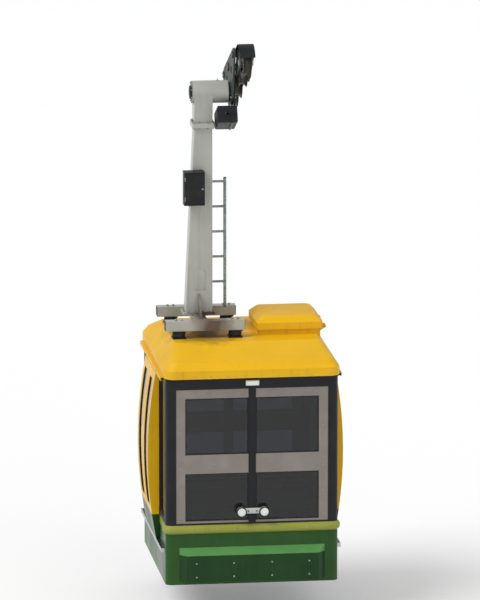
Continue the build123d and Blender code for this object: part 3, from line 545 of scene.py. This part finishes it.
def add_ring(bm, place, normal, profile, segments=48):
    """A turned shape: a profile of radius and height pairs, spun once round the normal. It is closed into
    a ring, unless it starts and ends on the axis."""
    ring = bmesh.new()
    line = [ring.verts.new((radius, 0, height)) for radius, height in profile]
    edges = [ring.edges.new(pair) for pair in zip(line, line[1:])]
    if profile[0][0] > 0:
        edges.append(ring.edges.new((line[-1], line[0])))
    bmesh.ops.spin(
        ring, geom=line + edges, cent=(0, 0, 0), axis=(0, 0, 1), angle=2 * pi, steps=segments,
        use_merge=True, use_duplicate=False,
    )
    bmesh.ops.remove_doubles(ring, verts=ring.verts, dist=1e-6)
    bmesh.ops.recalc_face_normals(ring, faces=ring.faces)
    bmesh.ops.transform(ring, matrix=facing(place, normal), verts=ring.verts)
    add_shape(bm, ring)


# Rubber glazing strips, 14 mm wide, round both faces of every fixed pane. A pane's middle lies 20 mm behind
# the posts' outer faces, and a strip's back 4 mm off that middle
PANE_BACK, PANE_FACE = 0.020, 0.004
bm = bmesh.new()
for _, end in ENDS:
    for x in (-0.3875, 0.3875):
        for low, high in ((0.707, 1.240), (1.450, 2.080)):
            for face in (1, -1):
                y = end * (HALF_LENGTH - PANE_BACK + face * PANE_FACE)
                seat = facing(at(x, y, (low + high) / 2), (0, end * face, 0))
                add_strip(bm, seat, 0.695, high - low, 0.008, 0.014, 0.006)
make_piece(bm, "end_glazing_strips", "hanger_and_cabin", RUBBER)

bm = bmesh.new()
for _, side in SIDES:
    for _, end in ENDS:
        for face in (1, -1):
            x = side * (HALF_WIDTH - PANE_BACK + face * PANE_FACE)
            seat = facing(at(x, end * 0.69, 1.4875), (side * face, 0, 0))
            add_strip(bm, seat, 0.400, 1.525, 0.040, 0.014, 0.007)
make_piece(bm, "side_glazing_strips", "hanger_and_cabin", RUBBER)

# Door leaves: glazing strips and the soft nosing where two leaves meet, bent to the bowed skin, and a lip
# seal on the back
LEAF_MIDDLE = (LEAF_LOW + LEAF_HIGH) / 2
for side_name, side in SIDES:
    for end_name, end in ENDS:
        leaf = f"door_{side_name}_{end_name}"
        skin_x = LEAF_BACK + LEAF_SKIN / 2
        bm = bmesh.new()
        for face in (1, -1):
            seat = facing(at(side * (skin_x + face * PANE_FACE), end * 0.240, 1.4475), (side * face, 0, 0))
            add_strip(bm, seat, 0.280, 1.415, 0.050, 0.013, 0.008, rows=28)
        add_block(bm, at(side * skin_x, end * 0.0028, LEAF_MIDDLE), (0.026, 0.0044, 1.846), 0.002)
        tall = [edge for edge in bm.edges if abs(edge.verts[0].co.z - edge.verts[1].co.z) > 1]
        bmesh.ops.subdivide_edges(bm, edges=tall, cuts=27)
        for v in bm.verts:
            v.co.x += side * bow_at(v.co.z - CABIN_BOTTOM)
        lip = at(side * (LEAF_BACK - 0.0022), end * 0.466, LEAF_MIDDLE)
        add_block(bm, lip, (0.0044, 0.014, 1.80), 0.0015)
        make_piece(bm, f"{leaf}_seals", leaf, RUBBER)

# End lamps: cup-shaped housings on a bar, each with a bezel and a domed lens set into it, and a marker lamp
# above. The profiles are radii and heights above the bar
LAMP_HEIGHT, LAMP_BAR, MARKER_HEIGHT = 0.815, 0.030, 2.248
LAMP_CUP = [
    (0, 0), (0.044, 0), (0.051, 0.009), (0.055, 0.022), (0.055, 0.0555), (0.0465, 0.0555),
    (0.0455, 0.050), (0, 0.0485),
]
LAMP_BEZEL = [
    (0.0552, 0.044), (0.0578, 0.044), (0.0578, 0.056), (0.0556, 0.0596), (0.0470, 0.0596), (0.0462, 0.0558),
    (0.0552, 0.0558),
]
LAMP_DOME = [(0, 0.0487), (0.0452, 0.0502), (0.0452, 0.0530), (0.034, 0.0562), (0.016, 0.0582), (0, 0.0588)]
MARKER_WIDE, MARKER_OUT, MARKER_TALL = 0.150, 0.040, 0.060
bm, bm_rim, bm_lens = bmesh.new(), bmesh.new(), bmesh.new()
for _, end in ENDS:
    out = (0, end, 0)
    bar = at(0, end * (HALF_LENGTH + LAMP_BAR / 2), LAMP_HEIGHT)
    marker = at(0, end * (HALF_LENGTH + MARKER_OUT / 2), MARKER_HEIGHT)
    marker_face = at(0, end * (HALF_LENGTH + MARKER_OUT), MARKER_HEIGHT)
    add_block(bm, bar, (0.310, LAMP_BAR, 0.060), 0.008)
    add_block(bm, marker, (MARKER_WIDE, MARKER_OUT, MARKER_TALL), 0.009)
    add_block(bm_lens, marker_face, (0.132, 0.006, 0.044), 0.0025)
    for x in (-0.125, 0.125):
        back = at(x, end * (HALF_LENGTH + LAMP_BAR), LAMP_HEIGHT)
        add_ring(bm, back, out, LAMP_CUP)
        add_ring(bm_rim, back, out, LAMP_BEZEL)
        add_ring(bm_lens, back, out, LAMP_DOME)
        add_bolt(bm_rim, at(0.36 * x, end * (HALF_LENGTH + LAMP_BAR), LAMP_HEIGHT), out, 0.013, 0.006)
make_piece(bm, "end_lamp_housings", "hanger_and_cabin", LAMP_BODY)
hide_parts("end_lamps")
make_piece(bm_rim, "headlamp_bezels", "hanger_and_cabin", BLACK)
make_piece(bm_lens, "lamp_lenses", "hanger_and_cabin", LENS)

# Bolts of the hanger's flange joint, on both faces
bm = bmesh.new()
for sx in (-1, 1):
    for sy in (-1, 1):
        for x, y in ((0.1120, 0.045), (0.1075, 0.1075), (0.045, 0.1085)):
            add_bolt(bm, (HANGER_X + sx * x, sy * y, -0.330), UP, 0.019, 0.012)
            add_bolt(bm, (HANGER_X + sx * x, sy * y, -0.380), -UP, 0.019, 0.012)
make_piece(bm, "flange_bolts", "hanger_and_cabin", BOLT_ZINC)

# Rubber mounts: steel plates above and below a barrel-sided rubber block
mount_low, mount_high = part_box("rubber_mounts")
MOUNT_RADIUS, MOUNT_RUBBER, MOUNT_PLATE = 0.064, 0.061, 0.012
mount_places = [(HANGER_X + sx * 0.310, sy * 0.390) for sx in (-1, 1) for sy in (-1, 1)]
bm, bm_plate = bmesh.new(), bmesh.new()
for x, y in mount_places:
    block = bmesh.new()
    bmesh.ops.create_cone(
        block, cap_ends=True, segments=40, radius1=MOUNT_RADIUS, radius2=MOUNT_RADIUS, depth=MOUNT_RUBBER
    )
    upright = [e for e in block.edges if abs(e.verts[0].co.z - e.verts[1].co.z) > MOUNT_RUBBER / 2]
    bmesh.ops.subdivide_edges(block, edges=upright, cuts=4)
    for v in block.verts:
        swell = 1 + 0.13 * cos(v.co.z / (MOUNT_RUBBER / 2) * pi / 2)
        v.co.x, v.co.y = v.co.x * swell, v.co.y * swell
    bmesh.ops.translate(block, vec=(x, y, (mount_low.z + mount_high.z) / 2), verts=block.verts)
    add_shape(bm, block)
    for level in (mount_low.z + MOUNT_PLATE / 2, mount_high.z - MOUNT_PLATE / 2):
        add_block(bm_plate, (x, y, level), (0.150, 0.150, MOUNT_PLATE), 0.002)
    for sx in (-1, 1):
        for sy in (-1, 1):
            spot = (x + sx * 0.061, y + sy * 0.061, mount_low.z + MOUNT_PLATE)
            add_bolt(bm_plate, spot, UP, 0.013, 0.008)
make_piece(bm, "mount_rubbers", "hanger_and_cabin", RUBBER)
make_piece(bm_plate, "mount_plates", "hanger_and_cabin", BLACK)
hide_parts("rubber_mounts")

# Wheels: a hub ring and low ring bolts on both faces of each. A rocker's pin is 430 mm from the carriage's
# middle, and its axles 185 mm to either side of the pin
PIN_ALONG, AXLE_OFFSET, AXLE_ABOVE = 0.430, 0.185, 0.160
RING_FACE, RING_BOLT_AT, RING_WASHER = 0.045, Vector((0, 0.133, 0)), 0.0022
HUB_RING = [(0.030, 0), (0.048, 0), (0.046, 0.003), (0.032, 0.003)]
for end, sign in ENDS:
    for place, offset in (("outer", AXLE_OFFSET), ("inner", -AXLE_OFFSET)):
        centre = on_slope(0, sign * (PIN_ALONG + offset), AXLE_ABOVE)
        bm = bmesh.new()
        for face in (-1, 1):
            out = Vector((face, 0, 0))
            for n in range(10):
                spot = centre + Matrix.Rotation(2 * pi * n / 10, 3, "X") @ RING_BOLT_AT
                add_disc(bm, spot + out * RING_FACE, out, 0.0085, RING_WASHER, 16)
                add_disc(bm, spot + out * (RING_FACE + RING_WASHER), out, 0.0060, 0.0016, 6)
            add_ring(bm, centre + out * RING_FACE, out, HUB_RING)
        make_piece(bm, f"ring_bolts_{end}_{place}", f"wheel_{end}_{place}", BOLT_ZINC)

# Rockers: axle nuts with washers outside the plates, and a grease nipple in each
AXLE_WASHER = [(0.0255, 0), (0.043, 0), (0.043, 0.003), (0.041, 0.004), (0.0255, 0.004)]
for end, sign in ENDS:
    bm = bmesh.new()
    for offset in (AXLE_OFFSET, -AXLE_OFFSET):
        centre = on_slope(0, sign * (PIN_ALONG + offset), AXLE_ABOVE)
        for face in (-1, 1):
            out = Vector((face, 0, 0))
            add_ring(bm, centre + out * 0.065, out, AXLE_WASHER)
            add_disc(bm, centre + out * 0.069, out, 0.036, 0.011, 6)
            add_disc(bm, centre + out * 0.080, out, 0.030, 0.0016, 32, 0.028)
            add_disc(bm, centre + out * 0.0816, out, 0.005, 0.0014, 12)
    make_piece(bm, f"rocker_{end}_axle_nuts", f"rocker_{end}", BOLT_ZINC)

# Main beam: keeper bolts on the rocker pins' heads and the spacer, and bolts that hold the clamp's arm
bm = bmesh.new()
for along, above, radius in ((-PIN_ALONG, 0.300, 0.024), (PIN_ALONG, 0.300, 0.024), (0, 0.275, 0.030)):
    for face in (-1, 1):
        for n in range(3):
            turn = Matrix.Rotation(2 * pi * (n / 3 + 0.08), 3, "X")
            spot = on_slope(face * 0.122, along, above) + turn @ Vector((0, radius, 0))
            add_bolt(bm, spot, (face, 0, 0), 0.013, 0.008)
for along in (-0.088, 0.088):
    add_bolt(bm, on_slope(-0.110, along, -0.092), (-1, 0, 0), 0.022, 0.012)
    add_bolt(bm, on_slope(-0.072, along, -0.092), (1, 0, 0), 0.022, 0.012)
make_piece(bm, "beam_bolts", "carriage", BOLT_ZINC)

# Clamp: bolts through its open side with nuts below, a bush in its bore at each end, and the weld beads
# that join it to its arm
CLAMP_X, CLAMP_ABOVE = -0.170, -0.295
bm = bmesh.new()
for along in (-0.115, -0.040, 0.040, 0.115):
    for face in (1, -1):
        spot = on_slope(CLAMP_X + 0.050, along, CLAMP_ABOVE + face * 0.095)
        add_bolt(bm, spot, OFF_SLOPE * face, 0.022, 0.014)
make_piece(bm, "clamp_bolts", "carriage", BOLT_ZINC)
bm = bmesh.new()
for end in (-1, 1):
    add_ring(
        bm, on_slope(CLAMP_X, end * 0.150, CLAMP_ABOVE), DOWNHILL * end,
        [(0.0115, 0), (0.032, 0), (0.032, 0.005), (0.020, 0.014), (0.0135, 0.014)], 40,
    )
for x in (-0.0925, -0.0695):
    add_disc(bm, on_slope(x, -0.108, CLAMP_ABOVE + 0.0965), DOWNHILL, 0.004, 0.216, 12)
make_piece(bm, "clamp_bushes_and_welds", "carriage", BLACK)

# Hanger head: bearing cover ring with its bolts, and a grease nipple on top
HEAD_FACE, COVER_THICK = Vector((-0.530, 0, 0)), 0.007
HEAD_COVER = [
    (0.090, 0), (0.124, 0), (0.124, 0.004), (0.121, COVER_THICK), (0.094, COVER_THICK), (0.090, 0.004)
]
bm = bmesh.new()
add_ring(bm, HEAD_FACE, -ACROSS, HEAD_COVER, 64)
for n in range(8):
    turn = Matrix.Rotation(2 * pi * (n + 0.5) / 8, 3, "X")
    spot = HEAD_FACE - ACROSS * COVER_THICK + turn @ Vector((0, 0.108, 0))
    add_bolt(bm, spot, -ACROSS, 0.015, 0.009)
add_disc(bm, (-0.250, 0, 0.1245), UP, 0.009, 0.008, 6)
add_disc(bm, (-0.250, 0, 0.1325), UP, 0.005, 0.010, 12, 0.003)
make_piece(bm, "head_cover_bolts", "hanger_and_cabin", BOLT_ZINC)

# Hanger foot: bolts into the rubber mounts and round the column's base plate, and plates that close the
# beams' ends
foot_low, foot_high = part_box("hanger_foot")
FOOT_TOP = foot_low.z + 0.110
BASE_X, BASE_THICK = -0.465, 0.025
bm, bm_cap = bmesh.new(), bmesh.new()
for x, y in mount_places:
    for step in (-0.032, 0.032):
        add_bolt(bm, (x + step, y, FOOT_TOP), UP, 0.024, 0.015)
for sx in (-1, 1):
    for sy in (-1, 1):
        for x, y in ((0.165, 0.040), (0.125, 0.105), (0.050, 0.105)):
            add_bolt(bm, (BASE_X + sx * x, sy * y, FOOT_TOP + BASE_THICK), UP, 0.020, 0.013)
for y in (-0.390, 0.390):
    for x, face in ((foot_low.x, -1), (foot_high.x, 1)):
        add_block(bm_cap, (x + face * 0.001, y, FOOT_TOP - 0.055), (0.006, 0.112, 0.102), 0.002)
make_piece(bm, "foot_bolts", "hanger_and_cabin", BOLT_ZINC)
make_piece(bm_cap, "foot_end_plates", "hanger_and_cabin", BLACK)

# Hanger column: a screwed inspection cover low on the uphill face
bm, bm_screw = bmesh.new(), bmesh.new()
COVER = Vector((-0.455, -0.0915, -2.080))
add_block(bm, COVER, (0.120, 0.005, 0.220), 0.002)
for x in (-0.048, 0.048):
    for z in (-0.098, 0.098):
        add_screw(bm_screw, COVER + Vector((x, -0.0025, z)), (0, -1, 0))
make_piece(bm, "column_cover", "hanger_and_cabin", HANGER_GREY)
make_piece(bm_screw, "column_cover_screws", "hanger_and_cabin", BOLT_ZINC)

# Ladder: caps on the stile, and weld collars where the rungs meet the column and the stile
ladder_low, ladder_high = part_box("ladder")
STILE_RADIUS, TOP_RUNG, RUNG_STEP = 0.017, -1.000, 0.280
STILE_X = ladder_high.x - STILE_RADIUS
COLUMN_WELD = [(0.013, 0), (0.021, 0), (0.021, 0.002), (0.0145, 0.006), (0.013, 0.006)]
STILE_WELD = [(0.013, -0.004), (0.018, -0.004), (0.014, 0.003), (0.013, 0.003)]
bm = bmesh.new()
for level, out in ((ladder_high.z, UP), (ladder_low.z, -UP)):
    add_disc(bm, (STILE_X, 0, level), out, 0.0175, 0.006, 24, 0.014)
make_piece(bm, "ladder_caps", "hanger_and_cabin", RUBBER)
bm = bmesh.new()
rung = TOP_RUNG
while rung > FOOT_TOP + 0.08:
    add_ring(bm, (ladder_low.x, 0, rung), ACROSS, COLUMN_WELD, 24)
    add_ring(bm, (STILE_X - STILE_RADIUS, 0, rung), -ACROSS, STILE_WELD, 24)
    rung -= RUNG_STEP
make_piece(bm, "ladder_weld_collars", "hanger_and_cabin", ZINC)

# Equipment box: a lid with a rolled edge, two hinges, a quarter-turn latch and two cable glands below
box_low, box_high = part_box("brake_box")
box_middle = (box_low + box_high) / 2
bm, bm_metal = bmesh.new(), bmesh.new()
add_block(bm, (box_middle.x, box_low.y - 0.003, box_middle.z), (0.206, 0.008, 0.346), 0.003)
for z in (-0.11, 0.11):
    spot = Vector((box_low.x + 0.010, box_low.y - 0.008, box_middle.z + z))
    add_disc(bm_metal, spot - UP * 0.022, UP, 0.005, 0.044, 16)
latch = Vector((box_high.x - 0.028, box_low.y - 0.007, box_middle.z))
add_disc(bm_metal, latch, (0, -1, 0), 0.012, 0.005, 24, 0.010)
add_block(bm_metal, latch - Vector((0, 0.006, 0)), (0.006, 0.006, 0.020), 0.0015)
for x in (-0.05, 0.05):
    spot = Vector((box_middle.x + x, box_middle.y, box_low.z))
    add_disc(bm_metal, spot, -UP, 0.014, 0.010, 6)
    add_disc(bm_metal, spot - UP * 0.010, -UP, 0.011, 0.012, 24, 0.008)
make_piece(bm, "box_lid", "hanger_and_cabin", BLACK)
make_piece(bm_metal, "box_fittings", "hanger_and_cabin", BOLT_ZINC)

# Even rows of screws in the belts and the roof's lip, and the bumpers' bolts
LIP_SCREW = 0.0025
bm = bmesh.new()
for _, end in ENDS:
    out = (0, end, 0)
    for n in range(9):
        add_screw(bm, at(-0.80 + 0.20 * n, end * (HALF_LENGTH + 0.028), 0.6175), out, radius=0.007)
    for n in range(10):
        add_screw(bm, at(-0.828 + 0.184 * n, end * (HALF_LENGTH + 0.060), 2.335), out, head=LIP_SCREW)
    for x in (-0.62, -0.21, 0.21, 0.62):
        for height in (0.10, 0.25):
            add_bolt(bm, at(x, end * (HALF_LENGTH + 0.080), height), out, 0.016, 0.006)
for _, side in SIDES:
    for n in range(11):
        spot = at(side * (HALF_WIDTH + 0.015), -0.95 + 0.19 * n, 2.355)
        add_screw(bm, spot, (side, 0, 0), head=LIP_SCREW)
make_piece(bm, "panel_screws", "hanger_and_cabin", BOLT_ZINC)

# Seal under the roof's lip at both ends, and rubber stops at the ends of the door rails
bm = bmesh.new()
for _, end in ENDS:
    add_block(bm, at(0, end * (HALF_LENGTH + 0.006), 2.304), (1.74, 0.012, 0.012), 0.004)
for _, side in SIDES:
    for _, end in ENDS:
        add_block(bm, at(side * (HALF_WIDTH + 0.024), end * 0.944, 2.290), (0.034, 0.012, 0.026), 0.003)
make_piece(bm, "roof_seals", "hanger_and_cabin", RUBBER)

# Door rails and sills: screws on the outer faces
bm = bmesh.new()
for _, side in SIDES:
    for n in range(6):
        y = -0.875 + 0.35 * n
        for proud, height in ((0.048, 2.290), (0.042, 0.362)):
            add_screw(bm, at(side * (HALF_WIDTH + proud), y, height), (side, 0, 0))
make_piece(bm, "rail_screws", "hanger_and_cabin", BOLT_ZINC)

# End window frames: screws along their outer stiles, and along the waist rail and the top rail
bm = bmesh.new()
stile_places = [(0.785, height) for height in (0.76, 1.02, 1.30, 1.39, 1.75, 2.13)]
rail_places = [(x, height) for x in (0.14, 0.42, 0.70) for height in (1.345, 2.13)]
for _, end in ENDS:
    for side in (-1, 1):
        for x, height in stile_places + rail_places:
            add_screw(bm, at(side * x, end * (HALF_LENGTH - 0.004), height), (0, end, 0), 0.0055, 0.002)
make_piece(bm, "sash_screws", "hanger_and_cabin", BOLT_ZINC)

# Hatch: a rubber seal round the coaming, and heads on the hinge pins
LID_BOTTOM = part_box("hatch_lid")[0].z
HATCH_X, HINGE_X = 0.505, 0.905
bm = bmesh.new()
for side in (-1, 1):
    add_block(bm, (HATCH_X + side * 0.343, 0, LID_BOTTOM + 0.030), (0.005, 0.66, 0.018), 0.002)
    add_block(bm, (HATCH_X, side * 0.343, LID_BOTTOM + 0.030), (0.66, 0.005, 0.018), 0.002)
make_piece(bm, "hatch_seal", "hanger_and_cabin", RUBBER)
bm = bmesh.new()
for y in (-0.210, 0.210):
    for face in (-1, 1):
        spot = (HINGE_X, y + face * 0.031, LID_BOTTOM + 0.004)
        add_disc(bm, spot, (0, face, 0), 0.013, 0.005, 24, 0.010)
make_piece(bm, "hatch_pin_heads", "hanger_and_cabin", BOLT_ZINC)

# Inside: rosettes on rails and poles, bench bolts, ceiling lamps and tread strips at the doorways
FLOOR, CEILING_LOW, SLAT_TOP = 0.380, 2.290, 0.828
ROSETTE = [(0.0155, 0), (0.032, 0), (0.032, 0.002), (0.022, 0.007), (0.0155, 0.007)]
bm = bmesh.new()
for x in (-0.86, 0.86):
    for y in (-0.48, 0.48):
        add_ring(bm, at(x, y, FLOOR), UP, ROSETTE, 32)
        add_ring(bm, at(x, y, CEILING_LOW), -UP, ROSETTE, 32)
for y in (-0.60, 0.60):
    for x in (-0.65, 0, 0.65):
        add_ring(bm, at(x, y, CEILING_LOW), -UP, ROSETTE, 32)
    for side in (-1, 1):
        add_disc(bm, at(side * 0.750, y, 2.170), (side, 0, 0), 0.0165, 0.006, 24, 0.013)
for _, end in ENDS:
    for x in (-0.62, 0, 0.62):
        for n in range(5):
            y = end * (1.01 - 0.0274 - 0.0688 * n)
            add_disc(bm, at(x, y, SLAT_TOP), UP, 0.008, 0.003, 20, 0.004)
make_piece(bm, "interior_fittings", "hanger_and_cabin", STAINLESS)
bm, bm_glow = bmesh.new(), bmesh.new()
for y in (-0.82, 0.82):
    add_block(bm, at(-0.30, y, CEILING_LOW - 0.012), (0.62, 0.14, 0.024), 0.006)
    add_block(bm_glow, at(-0.30, y, CEILING_LOW - 0.026), (0.57, 0.10, 0.008), 0.003)
make_piece(bm, "ceiling_lamp_bodies", "hanger_and_cabin", LAMP_BODY)
make_piece(bm_glow, "ceiling_lamp_covers", "hanger_and_cabin", LENS)
bm = bmesh.new()
for _, side in SIDES:
    add_block(bm, at(side * 0.890, 0, FLOOR + 0.003), (0.034, 0.84, 0.006), 0.0015)
make_piece(bm, "door_tread_strips", "hanger_and_cabin", ALUMINIUM)

# Studio: a pale floor below the hanging cabin, soft light and a long lens at the photograph's angle
FLOOR_DROP = 0.45
floor_bm = bmesh.new()
bmesh.ops.create_grid(floor_bm, x_segments=1, y_segments=1, size=90)
bmesh.ops.translate(floor_bm, vec=(0, 0, CABIN_BOTTOM - FLOOR_DROP), verts=floor_bm.verts)
floor_mesh = bpy.data.meshes.new("studio_floor")
floor_bm.to_mesh(floor_mesh)
floor_bm.free()
studio_floor = bpy.data.objects.new("studio_floor", floor_mesh)
bpy.context.scene.collection.objects.link(studio_floor)
# The floor glows a little to the camera, in reflections and through glass, so that it ends up near white
floor_finish, tree, shader, _ = start_finish(
    "pale_floor", base_color=(0.78, 0.78, 0.77, 1), roughness=0.9, emission_color=(1, 1, 1, 1)
)
rays = add_node(tree, "ShaderNodeLightPath").outputs
seen = rays["Is Camera Ray"]
for kind in ("Is Glossy Ray", "Is Transmission Ray"):
    seen = add_node(tree, "ShaderNodeMath", {0: seen, 1: rays[kind]}, operation="MAXIMUM").outputs[0]
glow = add_node(tree, "ShaderNodeMath", {0: seen, 1: 0.18}, operation="MULTIPLY")
tree.links.new(glow.outputs[0], shader.inputs["Emission Strength"])
floor_mesh.materials.append(floor_finish)

world = bpy.data.worlds.new("studio_world")
bpy.context.scene.world = world
world.use_nodes = True
sky = world.node_tree.nodes["Background"].inputs
sky["Color"].default_value = (0.97, 0.98, 1.0, 1)
sky["Strength"].default_value = 0.55


def add_sun(name, towards, strength, softness):
    """A distant light that shines along a direction, soft by an angle in degrees."""
    lamp = bpy.data.lights.new(name, "SUN")
    lamp.energy = strength
    lamp.angle = radians(softness)
    holder = bpy.data.objects.new(name, lamp)
    holder.rotation_euler = Vector(towards).to_track_quat("-Z", "Y").to_euler()
    bpy.context.scene.collection.objects.link(holder)


add_sun("key_light", (0.62, 0.25, -0.80), 1.9, 36)
add_sun("fill_light", (-0.45, 0.85, -0.35), 0.45, 50)

AZIMUTH, ELEVATION, DISTANCE = radians(-7.3), radians(12), 85.0
back = Vector((sin(AZIMUTH) * cos(ELEVATION), -cos(AZIMUTH) * cos(ELEVATION), sin(ELEVATION)))
camera_data = bpy.data.cameras.new("photo_camera")
camera = bpy.data.objects.new("photo_camera", camera_data)
bpy.context.scene.collection.objects.link(camera)
bpy.context.scene.camera = camera
middle = (cad_low + cad_high) / 2
frame_height = 6.6
camera_data.sensor_width = 36
camera_data.lens = 36 * DISTANCE / frame_height
camera_data.clip_start, camera_data.clip_end = 1, 400
camera.location = middle + back * DISTANCE
camera.rotation_mode = "QUATERNION"
camera.rotation_quaternion = (-back).to_track_quat("-Z", "Y")

bpy.context.scene.view_settings.view_transform = "Standard"
